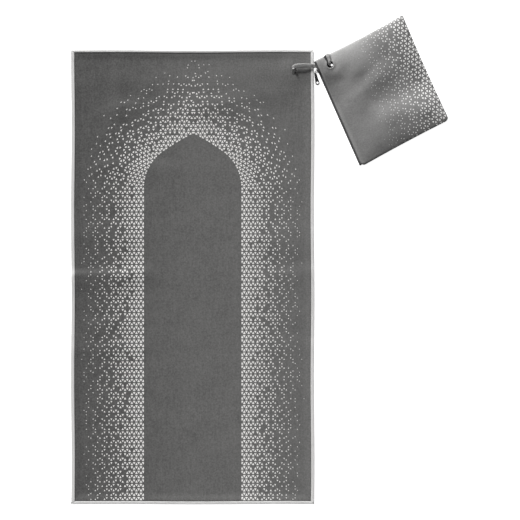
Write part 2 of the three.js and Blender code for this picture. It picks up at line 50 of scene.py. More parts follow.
# The mat. s runs across it from its left edge, t up it from its foot.
MAT_LEFT, MAT_FOOT, MAT_WIDTH, MAT_LENGTH, MAT_THICK = -464.6, -603.2, 600.0, 1120.0, 1.5
SIDE_SWAY, END_SWAY, SWAY_LENGTH = 0.8, 0.6, 410.0  # the soft waves that its edges run in
TAPE_THICK, GAP = 1.0, 0.4
EDGE = TAPE_THICK + GAP  # from the bound edge in to the cloth's own edge
TAPE_WIDTH = {"left": 9.5, "right": 7.5, "foot": 6.7, "head": 6.4}
# Soft ridges and troughs that packing and the band left in the mat: from s, t to s, t, the height, and
# the reach on the left of that way and on its right
MAT_FOLDS = [
    (0, 565, 135, 567, 2.4, 9, 38),
    (135, 567, 190, 570, 0.8, 12, 24),
    (490, 562, 600, 573, 0.9, 14, 40),
    (0, 384, 175, 387, 0.7, 10, 24),
    (470, 385, 600, 389, 0.4, 14, 24),
    (70, 835, 125, 837, 1.2, 10, 26),
    (180, 836, 240, 833, 0.9, 12, 40),
    (20, 662, 165, 666, 1.1, 34, 36),
    (480, 655, 590, 656, 1.1, 40, 50),
    (60, 448, 150, 452, 0.7, 12, 26),
    (112, 979, 150, 980, 1.4, 13, 34),
    (300, 990, 375, 992, 1.1, 14, 34),
    (400, 966, 470, 960, 0.8, 14, 28),
    (30, 1040, 300, 1046, 0.8, 26, 30),
    (540, 1030, 350, 985, 1.9, 30, 80),
    (528, 1080, 400, 1052, 0.6, 24, 40),
    (116, 960, 116, 1090, 0.9, 14, 18),
]
MAT_EYELET = (552.0, 1070.5, 4.8)
BAND_HUMP = (600.0, 1080.0, 1.6, 11.0, 48.0)  # its end's s and t, height, flat, reach
RIM = (8.5, 26.0)  # from here in to there the cloth comes down from inside its binding
FREE = (8.0, 30.0)  # and from here in to there its crumple grows


def unit(vector):
    """The direction of a vector, at length 1."""
    return vector / np.linalg.norm(vector)


# The pouch. u runs from its zip side, v from its head edge down its zip side.
ZIP_HEAD = np.array((133.1, 488.5))
FAR_HEAD = np.array((352.9, 603.4))
FAR_FOOT = np.array((468.4, 344.9))
ZIP_FOOT = np.array((248.7, 227.5))
ACROSS = unit(FAR_HEAD - ZIP_HEAD)
DOWN = unit(ZIP_FOOT - ZIP_HEAD)
POUCH_WIDTH = float(np.linalg.norm(FAR_HEAD - ZIP_HEAD))
POUCH_HEIGHT = float(np.linalg.norm(ZIP_FOOT - ZIP_HEAD))
HEAD_BOW, FOOT_BOW, FAR_BOW = 3.5, 1.6, 2.2  # how far its sewn edges are drawn in at their middle
CORNER_LIFT, LIFT_REACH = 7.6, 125.0  # the zip's head corner rides on the mat and the band
POUCH_THICK, SEAM = 1.2, 6.2
POUCH_EYELET = (34.9, 25.7, 8.0)
BACK_EYELET = (38.4, 28.0, 3.0)
GROOVE = (30.2, 3.0, 33.0, 22.0)  # the band presses it into the front, and shadow is painted near-black along it, from u, v to u, v
TAPE_TOP = 2.5  # of the zip's tape, over the pouch's underside
PANEL_FULL, PANEL_LEAST = 4.6, 0.05  # how far the front panel rises inside its sewn edges
PANEL_RISE = {"head": 44.0, "far": 22.0, "foot": 60.0}  # how far in from each edge it does so
OVER_TAPE = (20.0, 58.0)  # from this u to that, it comes off the zip's tape
# Folds of the front panel, in u and v as the mat's are in s and t
PANEL_FOLDS = [
    (166, 70, 92, 98, -1.6, 20, 24),
    (210, 170, 110, 158, -4.6, 52, 34),
    (205, 228, 120, 206, 0.8, 26, 26),
    (120, 116, 14, 148, 1.7, 24, 34),
    (50, 78, 14, 72, -0.9, 16, 18),
    (40, 50, 20, 42, 1.1, 12, 12),
]
TROUGH = (190.0, 92.0, 130.0, 122.0)  # the part of its deepest fold where shade is painted, from u, v to u, v


# Surfaces


def smoothstep(x, low, high):
    """0 below low, 1 above high and smooth between."""
    k = np.clip((np.asarray(x, float) - low) / (high - low), 0, 1)
    return k * k * (3 - 2 * k)


def from_segment(x, y, x0, y0, x1, y1):
    """How far points lie from the nearest place on a segment, in x and in y."""
    dx, dy = x1 - x0, y1 - y0
    k = np.clip(((x - x0) * dx + (y - y0) * dy) / (dx * dx + dy * dy), 0, 1)
    return x - x0 - k * dx, y - y0 - k * dy


def to_segment(x, y, *ends):
    """The distance from points to a segment."""
    return np.hypot(*from_segment(x, y, *ends))


def ripple(x, y, size, seed):
    """Smooth noise from -1 to 1 with features of about that size."""
    flat = [noise.noise(Vector((a / size, b / size, seed))) for a, b in zip(np.ravel(x), np.ravel(y))]
    return np.array(flat).reshape(np.shape(x))


def fold(x, y, x0, y0, x1, y1, height, left, right):
    """A soft ridge along a segment, with its own reach on each side of it."""
    dx, dy = x1 - x0, y1 - y0
    ax, ay = from_segment(x, y, x0, y0, x1, y1)
    away = np.hypot(ax, ay)
    side = (dx * ay - dy * ax) / (np.hypot(dx, dy) * np.maximum(away, 1e-9))
    reach = (left + right) / 2 + (left - right) / 2 * side
    return height * np.exp(-((away / reach) ** 2))


def mat_lift(s, t):
    """How far creases and the band lift the mat off the floor."""
    lift = 0.0
    for row in MAT_FOLDS:
        lift = lift + fold(s, t, *row)
    end_s, end_t, height, flat, reach = BAND_HUMP
    away = to_segment(s, t, MAT_EYELET[0], MAT_EYELET[1], end_s, end_t)
    return lift + height * (1 - smoothstep(away, flat, reach))


def on_mat(s, t, z):
    """Points of the mat at that height over the floor."""
    side = SIDE_SWAY * np.sin(2 * math.pi * t / SWAY_LENGTH)
    end = END_SWAY * np.sin(2 * math.pi * s / SWAY_LENGTH)
    x = MAT_LEFT + s + side + SHIFT[0]
    y = MAT_FOOT + t + end + SHIFT[1]
    return np.stack(np.broadcast_arrays(x, y, z), -1)


def pouch_plan(u, v):
    """The pouch's points in plan: its four corners blended, its sewn edges drawn in."""
    x, y = np.asarray(u / POUCH_WIDTH)[..., None], np.asarray(v / POUCH_HEIGHT)[..., None]
    head = ZIP_HEAD + (FAR_HEAD - ZIP_HEAD) * x
    foot = ZIP_FOOT + (FAR_FOOT - ZIP_FOOT) * x
    bow_x = 4 * np.clip(x, 0, 1) * (1 - np.clip(x, 0, 1))
    bow_y = 4 * np.clip(y, 0, 1) * (1 - np.clip(y, 0, 1))
    plan = head + (foot - head) * y + DOWN * bow_x * (HEAD_BOW * (1 - y) - FOOT_BOW * y)
    return plan - ACROSS * FAR_BOW * bow_y * x


def pouch_lift(plan):
    """How far the mat's edge and the band lift the pouch off the floor."""
    away = np.minimum(1, np.linalg.norm(plan - ZIP_HEAD, axis=-1) / LIFT_REACH)
    return CORNER_LIFT * (0.5 + 0.5 * np.cos(math.pi * away))


def on_pouch(u, v, height):
    """Points at that height over the pouch's underside."""
    plan = pouch_plan(u, v)
    z = pouch_lift(plan) + height
    return np.concatenate([plan + SHIFT, np.broadcast_to(z, plan.shape[:-1])[..., None]], -1)


def rise(inside, reach):
    """0 at an edge, curving over to 1 that far in."""
    return 1 - (1 - np.clip(inside / reach, 0, 1)) ** 2


def front_height(u, v):
    """The underside of the front panel over the pouch's underside."""
    base = POUCH_THICK + GAP
    full = PANEL_FULL
    for row in PANEL_FOLDS:
        full = full + fold(u, v, *row)
    by_zip = 1 - smoothstep(u, *OVER_TAPE)
    sewn = rise(v, PANEL_RISE["head"]) * rise(POUCH_WIDTH - u, PANEL_RISE["far"])
    sewn = sewn * rise(POUCH_HEIGHT - v, PANEL_RISE["foot"])
    free = sewn * np.maximum(full, PANEL_LEAST) * (1 - 0.5 * by_zip)
    return base + (TAPE_TOP + GAP - base) * by_zip + free


# Making meshes


def new_object(name, points, faces, material):
    """A smooth-shaded mesh of points in millimetres."""
    mesh = bpy.data.meshes.new(name)
    mesh.from_pydata((np.asarray(points).reshape(-1, 3) * MM).tolist(), [], faces)
    mesh.validate()
    mesh.update()
    mesh.shade_smooth()
    mesh.materials.append(material)
    made = bpy.data.objects.new(name, mesh)
    bpy.context.scene.collection.objects.link(made)
    return made


def lines(marks, step):
    """Marks in order, with even fill where they lie further apart than step."""
    marks = sorted(set(marks))
    out = [marks[0]]
    for a, b in zip(marks, marks[1:]):
        count = max(1, math.ceil((b - a) / step - 1e-6))
        out += [a + (b - a) * k / count for k in range(1, count + 1)]
    return np.array(out)


def sheet_object(name, across, along, place, hole, thick, material):
    """A sheet on a grid of lines with a round hole, thickened evenly to both sides."""
    u, v = (g.copy() for g in np.meshgrid(across, along, indexing="ij"))
    away = np.hypot(u - hole[0], v - hole[1])
    kept = away >= hole[2]
    whole = kept[:-1, :-1] & kept[1:, :-1] & kept[1:, 1:] & kept[:-1, 1:]
    cut = np.zeros(kept.shape, bool)
    for i, j in zip(*np.nonzero(~whole)):
        cut[i : i + 2, j : j + 2] = True
    rim = cut & kept
    u[rim] = hole[0] + (u[rim] - hole[0]) * hole[2] / away[rim]
    v[rim] = hole[1] + (v[rim] - hole[1]) * hole[2] / away[rim]
    used = np.zeros(kept.shape, bool)
    for i, j in ((0, 0), (1, 0), (1, 1), (0, 1)):
        used[i : i + whole.shape[0], j : j + whole.shape[1]] |= whole
    index = np.cumsum(used).reshape(used.shape) - 1
    faces = [
        (int(index[i, j]), int(index[i + 1, j]), int(index[i + 1, j + 1]), int(index[i, j + 1]))
        for i, j in zip(*np.nonzero(whole))
    ]
    made = new_object(name, place(u[used], v[used]), faces, material)
    solidify = made.modifiers.new("thickness", "SOLIDIFY")
    solidify.thickness = thick * MM
    solidify.offset = 0
    return made


def tube_object(name, rings, material, closed_route):
    """A skin through rings of points, joined end to end or capped."""
    rings = np.asarray(rings)
    count, sides = rings.shape[:2]
    faces = []
    for k in range(count if closed_route else count - 1):
        a, b = k * sides, (k + 1) % count * sides
        faces += [(a + i, a + (i + 1) % sides, b + (i + 1) % sides, b + i) for i in range(sides)]
    if not closed_route:
        faces += [tuple(range(sides))[::-1], tuple(range((count - 1) * sides, count * sides))]
    return new_object(name, rings, faces, material)


def many_object(name, shape, faces, places, material):
    """One object of many copies; places gives each copy's origin and its x, y and z directions."""
    points, all_faces = [], []
    for k, (origin, x, y, z) in enumerate(places):
        points.append(np.asarray(origin) + shape @ np.array((x, y, z)))
        all_faces += [tuple(i + k * len(shape) for i in face) for face in faces]
    return new_object(name, np.concatenate(points), all_faces, material)


# Materials


class Num:
    """A number that varies over a surface, as the output of a node."""

    def __init__(self, look, socket):
        self.look, self.socket = look, socket

    def __add__(self, other):
        return self.look.math("ADD", self, other)

    def __sub__(self, other):
        return self.look.math("SUBTRACT", self, other)

    def __rsub__(self, other):
        return self.look.math("SUBTRACT", other, self)

    def __mul__(self, other):
        return self.look.math("MULTIPLY", self, other)

    def __truediv__(self, other):
        return self.look.math("DIVIDE", self, other)

    def __lt__(self, other):
        return self.look.math("LESS_THAN", self, other)

    def __gt__(self, other):
        return self.look.math("GREATER_THAN", self, other)

    def __abs__(self):
        return self.look.math("ABSOLUTE", self)

    __radd__, __rmul__ = __add__, __mul__

    def floor(self):
        return self.look.math("FLOOR", self)

    def part(self):
        return self.look.math("FRACT", self)

    def sine(self):
        return self.look.math("SINE", self)

    def least(self, other):
        return self.look.math("MINIMUM", self, other)

    def most(self, other):
        return self.look.math("MAXIMUM", self, other)

    def pick(self, yes, no):
        """yes where this number is 1 and no where it is 0."""
        return self * (yes - no) + no

    def ramp(self, low, high):
        """0 below low, 1 above high and smooth between."""
        values = {0: self, 1: low, 2: high}
        made = self.look.node("ShaderNodeMapRange", values, interpolation_type="SMOOTHSTEP")
        return Num(self.look, made.outputs[0])


class Look:
    """A material under construction, with its position in millimetres as x, y and z."""

    def __init__(self, name, roughness, metallic=0.0, sheen=0.0):
        self.material = bpy.data.materials.new(name)
        self.material.use_nodes = True
        self.tree = self.material.node_tree
        self.shader = self.tree.nodes["Principled BSDF"]
        self.shader.inputs["Roughness"].default_value = roughness
        self.shader.inputs["Metallic"].default_value = metallic
        self.shader.inputs["Sheen Weight"].default_value = sheen
        self.shader.inputs["Sheen Roughness"].default_value = 0.45
        place = self.node("ShaderNodeTexCoord", {}).outputs["Object"]
        self.x, self.y, self.z = (part * 1000.0 for part in self.parts(place))

    def node(self, kind, values, **settings):
        """A new node with its settings; each value is a constant, a socket or a Num."""
        made = self.tree.nodes.new(kind)
        for name, setting in settings.items():
            setattr(made, name, setting)
        for key, value in values.items():
            value = value.socket if isinstance(value, Num) else value
            if isinstance(value, bpy.types.NodeSocket):
                self.tree.links.new(value, made.inputs[key])
            else:
                made.inputs[key].default_value = value
        return made

    def parts(self, socket):
        """A vector's x, y and z."""
        made = self.node("ShaderNodeSeparateXYZ", {0: socket})
        return [Num(self, made.outputs[k]) for k in range(3)]

    def math(self, operation, *values):
        made = self.node("ShaderNodeMath", dict(enumerate(values)), operation=operation)
        return Num(self, made.outputs[0])

    def vector(self, x, y, z):
        return self.node("ShaderNodeCombineXYZ", {0: x, 1: y, 2: z}).outputs[0]

    def noise(self, size_x, size_y, seed, detail=2.0):
        """Smooth noise round 0, from -1 to 1, with features of those sizes in millimetres."""
        place = self.vector(self.x / size_x, self.y / size_y, self.z / size_x + seed)
        made = self.node("ShaderNodeTexNoise", {"Vector": place, "Scale": 1.0, "Detail": detail})
        return Num(self, made.outputs["Fac"]) * 2.0 - 1.0

    def facing(self):
        """The way the surface faces, as x, y and z."""
        return self.parts(self.node("ShaderNodeNewGeometry", {}).outputs["Normal"])

    def upward(self):
        """How far the surface faces up, from -1 to 1."""
        return self.facing()[2]

    def painted_slope_light(self):
        """How far the surface leans towards the key light, to the head and a little left; it paints light
        and shade onto slopes.
        """
        x, y, _ = self.facing()
        return y * 0.87 - x * 0.5

    def chance(self, a, b, c):
        """A random number from 0 to 1 for each whole a, b and c."""
        made = self.node("ShaderNodeTexWhiteNoise", {"Vector": self.vector(a, b, c)})
        return Num(self, made.outputs["Value"])

    def mixed(self, share, below, above, kind="MIX"):
        """The colour below, covered by the colour above as share goes from 0 to 1."""
        values = {0: share, 6: below, 7: above}
        return self.node("ShaderNodeMix", values, data_type="RGBA", blend_type=kind).outputs[2]

    def shaded(self, colour, share):
        """The colour times a number."""
        grey = self.node("ShaderNodeCombineColor", {0: share, 1: share, 2: share}).outputs[0]
        return self.mixed(1.0, colour, grey, "MULTIPLY")

    def finish(self, colour, height, depth):
        """The colour, and bumps of that depth in millimetres for a height from 0 to 1."""
        self.tree.links.new(colour, self.shader.inputs["Base Color"])
        values = {"Height": height, "Strength": 1.0, "Distance": depth * MM}
        made = self.node("ShaderNodeBump", values)
        self.tree.links.new(made.outputs[0], self.shader.inputs["Normal"])
        return self.material


def srgb(value, warmth=0.012):
    """A near-grey of that brightness, 0 to 255, as a linear colour that is a little warm."""
    level = value / 255
    linear = level / 12.92 if level < 0.04 else ((level + 0.055) / 1.055) ** 2.4
    return (linear * (1 + warmth), linear, linear * (1 - 1.5 * warmth), 1.0)


def weave(look, pitch):
    """The height of a plain weave, from 0 to 1."""
    turn = 2 * math.pi / pitch
    return (look.x * turn).sine() * (look.y * turn).sine() * 0.5 + 0.5


def lattice(look, x, y, pitch, row):
    """Cells of a lattice of triangles that point up and down in turn along each row.

    Gives each point's cell as three whole numbers, the middle of the cell, and how far out from the
    middle the point lies, up to 1 at the cell's rim.
    """
    band = (y / row).floor()
    in_band = y / row - band
    along = x / pitch + band * 0.5
    left = along.floor()
    nearest = (along + 0.5).floor()
    up = abs(along - left - 0.5) * 2.0 < 1.0 - in_band
    middle = up.pick(left + 0.5, nearest)
    across = abs(along - middle)
    above = up.pick(in_band - 1 / 3, 2 / 3 - in_band)
    out = (above * -3.0).most(across * 3.0 + above * 1.5)
    middle_y = (band + up.pick(1 / 3, 2 / 3)) * row
    return (middle, band, up), (middle - band * 0.5) * pitch, middle_y, out


# The arch's outline, in mm to its right and down from its apex: a shallow crown arc, a shoulder arc
# and an upright side.
ARCH_AXIS, ARCH_TOP = -162.0, 312.3
ARCH_HALF = 122.1
SHOULDER = (12.1, 135.0, 110.0)  # middle and radius
CROWN = (-268.9, 536.3, 600.0)
ARCH_JOIN = math.atan2(CROWN[1] - SHOULDER[1], SHOULDER[0] - CROWN[0])
SHOULDER_PRINT = 165.0  # the radius at which the print keeps its true size round the shoulder
CROWN_PRINT = 680.0  # and the same for the crown
PRINT_PITCH, PRINT_ROW = 11.24, 10.79
PRINT_REACH, PRINT_REACH_CROWN = 160.0, 172.0  # how far out from the arch its last triangles lie
RIGHT_SHARE = 1.03  # right of its axis, the arch and its print are narrower by this factor
ROW_STEP, ROW_CHANCE = 0.382, 0.18  # what each triangle's lot moves on by, and how much of it is chance
EYELET_SHADOW = (86.0, 460.5, 87.0, 466.0)  # painted shadow under the band's end, from x, y to x, y
POUCH_PITCH, POUCH_ROW = 11.1, 10.65
POUCH_REACH = 142.0  # how far the pouch's print fades out from its far side


def draw(look, cell):
    """A lot from 0 to 1 for each cell, spread evenly along each row but for a little chance."""
    middle, band, up = cell
    lot = middle * ROW_STEP + look.chance(0.0, band, up) + look.chance(middle, band, up) * ROW_CHANCE
    return lot.part()


def arch_place(look, x, y):
    """How far out from the arch's outline a point lies and how far up along it; y is down from the apex.

    Less than 0 out is inside the arch, and 0 up is where the side ends and the shoulder begins.
    """
    outs, turns = [], []
    for middle_x, middle_y, radius in (SHOULDER, CROWN):
        across, above = x - middle_x, middle_y - y
        outs.append(look.math("SQRT", across * across + above * above) - radius)
        turns.append(look.math("ARCTAN2", above, across))
    on_crown = turns[1] > ARCH_JOIN
    on_side = y > SHOULDER[1]
    out = on_side.pick(x - ARCH_HALF, on_crown.pick(outs[1], outs[0]))
    past_join = (turns[1] - ARCH_JOIN) * CROWN_PRINT + ARCH_JOIN * SHOULDER_PRINT
    up = on_side.pick(SHOULDER[1] - y, on_crown.pick(past_join, turns[0] * SHOULDER_PRINT))
    return out, up


def to_line(look, x, y, x0, y0, x1, y1):
    """The distance from a point to a segment, as a Num."""
    dx, dy = x1 - x0, y1 - y0
    along = ((x - x0) * dx + (y - y0) * dy) / (dx * dx + dy * dy)
    along = along.most(0.0).least(1.0)
    ax, ay = x - x0 - along * dx, y - y0 - along * dy
    return look.math("SQRT", ax * ax + ay * ay)


def mat_look():
    """Grained grey cloth, printed with triangles that thin out and shrink away from the arch, with light
    and shade painted into its colour.
    """
    look = Look("mat_fabric", 0.92, sheen=0.12)
    offset = look.x - ARCH_AXIS
    right = offset > 0.0
    x = abs(offset) * right.pick(RIGHT_SHARE, 1.0)
    from_arch, up_arch = arch_place(look, x, ARCH_TOP - look.y)
    cell, mid_x, _, out = lattice(
        look, from_arch + ARCH_HALF, up_arch - SHOULDER[1], PRINT_PITCH, PRINT_ROW
    )
    away = mid_x - ARCH_HALF
    over = up_arch.ramp(40.0, 150.0)  # 1 over the crown, 0 beside the arch
    crown_keep = (1.02 - away / 200.0).least((PRINT_REACH_CROWN - away) / 40.0)
    side_keep = (1.12 - away / 205.0).least((PRINT_REACH - away) / 46.0)
    side_keep = side_keep - (1.0 - cell[2]) * away * 0.0011  # those that point down thin out sooner
    size = over.pick(0.63 - away * 0.0025, 0.63 - away * 0.0028)
    kept = draw(look, (cell[0] + right * 500.0, cell[1], cell[2])) < over.pick(crown_keep, side_keep)
    printed = kept * (out < size) * (from_arch > 0.0) * (look.upward() > 0.0)

    # Each of these lightens or darkens the cloth, as a share of its colour: grain and clouds are its own
    # tone, the rest is painted light and shade
    grain = look.noise(3.6, 3.6, 3.0) * 0.5 + look.noise(3.6, 36.0, 8.0) * 0.16
    clouds = look.noise(90.0, 70.0, 5.0) * 0.1 + look.noise(48.0, 30.0, 6.0) * 0.1
    # painted shade growing towards the mat's left side, and painted light on a narrow strip just inside
    # the left binding
    left = (1.0 - look.x.ramp(-460.0, -430.0)) * 0.12 - (1.0 - look.x.ramp(-400.0, -140.0)) * 0.21
    # painted shade: a dark line on the cloth along the foot binding, where the binding shades it
    foot = (1.0 - look.y.ramp(-594.0, -590.0)) * 0.22
    # painted shadow under the band's end, at the mat's eyelet
    eyelet = (1.0 - to_line(look, look.x, look.y, *EYELET_SHADOW).ramp(2.8, 6.2)) * 0.8
    # painted light: lighter towards the right, and lighter or darker as the cloth slopes towards or away
    # from the key light
    light = 1.03 + grain + clouds + look.x * 0.0003 + left - foot - eyelet + look.painted_slope_light() * 0.9
    cloth = look.shaded(srgb(92), light)
    white = look.shaded(srgb(224), 1.0 + look.noise(1.2, 1.2, 12.0) * 0.05)
    height = weave(look, 1.1) * 0.6 + look.noise(3.5, 3.5, 20.0) * 0.3
    return look.finish(look.mixed(printed, cloth, white), height, 0.10)


def pouch_look(name, inner_side_up):
    """The same cloth, printed from the far side, with light and shade painted into its colour; its inner
    side is painted near-black as shade.
    """
    look = Look(name, 0.9, sheen=0.35)
    dx, dy = look.x - float(ZIP_HEAD[0] + SHIFT[0]), look.y - float(ZIP_HEAD[1] + SHIFT[1])
    turn = float(ACROSS[0] * DOWN[1] - ACROSS[1] * DOWN[0])
    u = (dx * float(DOWN[1]) - dy * float(DOWN[0])) / turn
    v = (dy * float(ACROSS[0]) - dx * float(ACROSS[1])) / turn
    cell, mid_u, mid_v, out = lattice(look, u, v, POUCH_PITCH, POUCH_ROW)
    away = (POUCH_WIDTH - mid_u) / (mid_v * 0.1 + POUCH_REACH)
    keep = (1.0 - away * 0.48).least((1.02 - away) / 0.25)
    lot = draw(look, (cell[0], cell[1] + 300.0, cell[2]))
    printed = (lot < keep) * (out < 0.62 - away * (0.7 - away * 0.2))
    # painted shade: the panel's inner side, facing into the pouch, is near-black
    painted_inner_shade = look.upward() > 0.0 if inner_side_up else look.upward() < 0.0

    # Each of these lightens or darkens the cloth, as a share of its colour: grain is its own tone, the
    # rest is painted light and shade
    grain = look.noise(3.6, 3.6, 33.0) * 0.35 + look.noise(40.0, 40.0, 35.0) * 0.14
    # painted highlight along the head edge, which faces the key light
    painted_head_highlight = (1.0 - v.ramp(-4.0, 26.0)) * 0.45
    # painted light: lighter across the head part of the panel near the eyelet, where the puffed cloth
    # faces the light
    painted_light_by_eyelet = (1.0 - v.ramp(40.0, 105.0)) * (u.ramp(20.0, 55.0) - u.ramp(110.0, 180.0)) * 0.45
    # painted highlight on the hem beside the zip, lower down the pouch
    hem = (u.ramp(6.0, 9.0) - u.ramp(12.0, 17.0)) * v.ramp(90.0, 150.0) * 0.22
    # painted shade: darker towards the far side, most near its head, where the cloth turns away from the
    # light
    painted_far_side_shade = u.ramp(180.0, 232.0) * (1.0 - v.ramp(140.0, 240.0) * 0.7) * 0.34
    # painted shade along the deepest fold's trough
    painted_trough_shade = (1.0 - to_line(look, u, v, *TROUGH).ramp(5.0, 38.0)) * 0.16
    # painted shade: darker towards the foot edge, which faces away from the light
    painted_foot_shade = v.ramp(205.0, 250.0) * u.ramp(60.0, 110.0) * (1.0 - u.ramp(200.0, 235.0)) * 0.13
    light = 1.0 + grain + painted_head_highlight + painted_light_by_eyelet + hem - (painted_far_side_shade + painted_trough_shade + painted_foot_shade)
    # the cloth also takes painted light as it slopes towards or away from the key light
    cloth = look.shaded(srgb(118, 0.008), light + look.painted_slope_light() * 0.9)
    white = look.shaded(srgb(226, 0.008), 1.0 + look.noise(1.2, 1.2, 41.0) * 0.05)
    # painted shadow: near-black along the groove beside the band
    groove = (1.0 - to_line(look, u, v, *GROOVE).ramp(2.3, 3.4)) * 0.94
    outside = look.mixed(groove, look.mixed(printed, cloth, white), srgb(14, 0.0))
    height = weave(look, 1.1) * 0.6 + look.noise(3.5, 3.5, 50.0) * 0.3
    # the inner side takes the painted near-black shade
    return look.finish(look.mixed(painted_inner_shade, outside, srgb(22, 0.0)), height, 0.10)


def tape_look():
    """Light woven tape."""
    look = Look("binding_tape", 0.85, sheen=0.1)
    shade = 1.0 + look.noise(2.2, 2.2, 61.0) * 0.07 + look.noise(30.0, 30.0, 63.0) * 0.04
    return look.finish(look.shaded(srgb(202, 0.006), shade), weave(look, 1.3), 0.12)


def thread_look():
    """Thread a little darker than the tape."""
    look = Look("stitching_thread", 0.8)
    shade = 1.0 + look.noise(0.6, 0.6, 66.0) * 0.1
    return look.finish(look.shaded(srgb(196, 0.006), shade), look.noise(0.4, 0.4, 67.0), 0.05)


def band_look():
    """Soft grey ribbed cloth."""
    look = Look("band_fabric", 0.85, sheen=0.45)
    shade = 1.0 + look.noise(1.8, 1.8, 71.0) * 0.14 + look.noise(14.0, 14.0, 73.0) * 0.07
    return look.finish(look.shaded(srgb(146, 0.008), shade), weave(look, 0.9), 0.12)


def coil_look():
    """The zip's dark teeth and tape."""
    look = Look("zip_coil", 0.5)
    shade = 1.0 + look.noise(1.0, 1.0, 81.0) * 0.2
    return look.finish(look.shaded(srgb(86, 0.0), shade), look.noise(0.5, 0.5, 83.0), 0.03)


def metal_look():
    """Dark metal with worn patches."""
    look = Look("zip_metal", 0.34, metallic=0.5)
    worn = look.noise(3.0, 3.0, 91.0, 4.0).ramp(0.05, 0.5)
    colour = look.mixed(worn, srgb(72, 0.0), srgb(118, 0.0))
    return look.finish(colour, look.noise(0.7, 0.7, 93.0), 0.02)


MAT_FABRIC, TAPE, THREAD = mat_look(), tape_look(), thread_look()
POUCH_FRONT, POUCH_BACK = pouch_look("pouch_fabric", False), pouch_look("pouch_fabric_back", True)
BAND_FABRIC, COIL, METAL = band_look(), coil_look(), metal_look()


# The camera, the floor and the light

PHOTO_WIDTH = 1282.84  # what the picture is wide at the floor
PHOTO_MIDDLE = (2.27, -0.23)
camera_data = bpy.data.cameras.new("camera")
camera_data.lens = 200
camera_data.sensor_width = 36
camera_data.clip_end = 50
camera = bpy.data.objects.new("camera", camera_data)
bpy.context.scene.collection.objects.link(camera)
camera_height = PHOTO_WIDTH * camera_data.lens / camera_data.sensor_width
camera.location = (PHOTO_MIDDLE[0] * MM, PHOTO_MIDDLE[1] * MM, camera_height * MM)
bpy.context.scene.camera = camera

WHITE = (1.0, 1.0, 1.0, 1.0)
SQUARE = ((-1, -1), (1, -1), (1, 1), (-1, 1))
FLOOR_GLOW, FLOOR_HALF = 0.8, 6000.0
HIDDEN_X, HIDDEN_Y = (-164.0, 296.0), (-42.0, 556.0)  # middle and half size of what the mat hides


def floor_look():
    """White paper that glows, but for where the mat hides it."""
    look = Look("floor_paper", 0.9)
    look.shader.inputs["Emission Color"].default_value = WHITE
    beside = abs(look.x - HIDDEN_X[0]) > HIDDEN_X[1]
    beyond = abs(look.y - HIDDEN_Y[0]) > HIDDEN_Y[1]
    glow = beside.most(beyond) * FLOOR_GLOW
    look.tree.links.new(glow.socket, look.shader.inputs["Emission Strength"])
    shade = 1.0 + look.noise(300.0, 300.0, 101.0) * 0.01
    paper = look.shaded((0.93, 0.93, 0.93, 1.0), shade)
    return look.finish(paper, look.noise(2.0, 2.0, 103.0), 0.02)


corners = [(x * FLOOR_HALF, y * FLOOR_HALF, 0.0) for x, y in SQUARE]
floor = new_object("floor", corners, [(0, 1, 2, 3)], floor_look())

world = bpy.data.worlds.new("studio")
world.use_nodes = True
world.node_tree.nodes["Background"].inputs[0].default_value = WHITE
world.node_tree.nodes["Background"].inputs[1].default_value = 0.25
bpy.context.scene.world = world
bpy.context.scene.view_settings.view_transform = "Standard"


def soft_sun(name, strength, spread, azimuth, elevation):
    """Even light from a wide patch of the sky; azimuth is clockwise from +Y, in degrees."""
    data = bpy.data.lights.new(name, "SUN")
    data.energy, data.angle = strength, math.radians(spread)
    made = bpy.data.objects.new(name, data)
    a, e = math.radians(azimuth), math.radians(elevation)
    source = Vector((math.sin(a) * math.cos(e), math.cos(a) * math.cos(e), math.sin(e)))
    made.rotation_mode = "QUATERNION"
    made.rotation_quaternion = source.to_track_quat("Z", "Y")
    bpy.context.scene.collection.objects.link(made)


soft_sun("key_light", strength=8.06, spread=12, azimuth=-30, elevation=17)


# The mat


def mat_middle(s, t):
    """The middle of the cloth's thickness: raised inside the binding's rim, and a little crumpled."""
    inside = np.minimum(np.minimum(s, MAT_WIDTH - s), np.minimum(t, MAT_LENGTH - t))
    rim = EDGE * (1 - smoothstep(inside, *RIM))
    crumple = 0.32 * ripple(s, t, 55, 2.5) + 0.12 * ripple(s, t, 19, 7.5)
    z = mat_lift(s, t) + rim + MAT_THICK / 2 + smoothstep(inside, *FREE) * (crumple + 0.3)
    return on_mat(s, t, z)


def fine_lines(middle, before, after, step):
    """Closer lines round a hole."""
    return np.arange(middle - before, middle + after + 0.1, step)


mat_across = lines([EDGE, 8, MAT_WIDTH - 8, MAT_WIDTH - EDGE], 5)
mat_along = lines([EDGE, 8, MAT_LENGTH - 6, MAT_LENGTH - EDGE], 5)
mat_cloth = sheet_object(
    "mat_cloth_sheet",
    np.union1d(mat_across, fine_lines(MAT_EYELET[0], 12, 12, 1.2)),
    np.union1d(mat_along, fine_lines(MAT_EYELET[1], 12, 12, 1.2)),
    mat_middle,
    MAT_EYELET,
    MAT_THICK,
    MAT_FABRIC,
)

# Each binding: which bindings it meets at its two ends, its length, and how distance in from the edge
# and distance along it become s and t.
BINDINGS = {
    "left": ("foot", "head", MAT_LENGTH, lambda d, a: (d, a)),
    "right": ("foot", "head", MAT_LENGTH, lambda d, a: (MAT_WIDTH - d, a)),
    "foot": ("left", "right", MAT_WIDTH, lambda d, a: (a, d)),
    "head": ("left", "right", MAT_WIDTH, lambda d, a: (a, MAT_LENGTH - d)),
}
TAPE_TALL = 2 * EDGE + MAT_THICK - 0.3
TAPE_THIN = 0.8
MITRE_GAP, MITRE_CLEAR = 0.225, 0.4  # at the very ends, and for the section next to them
RING_STEP = 5

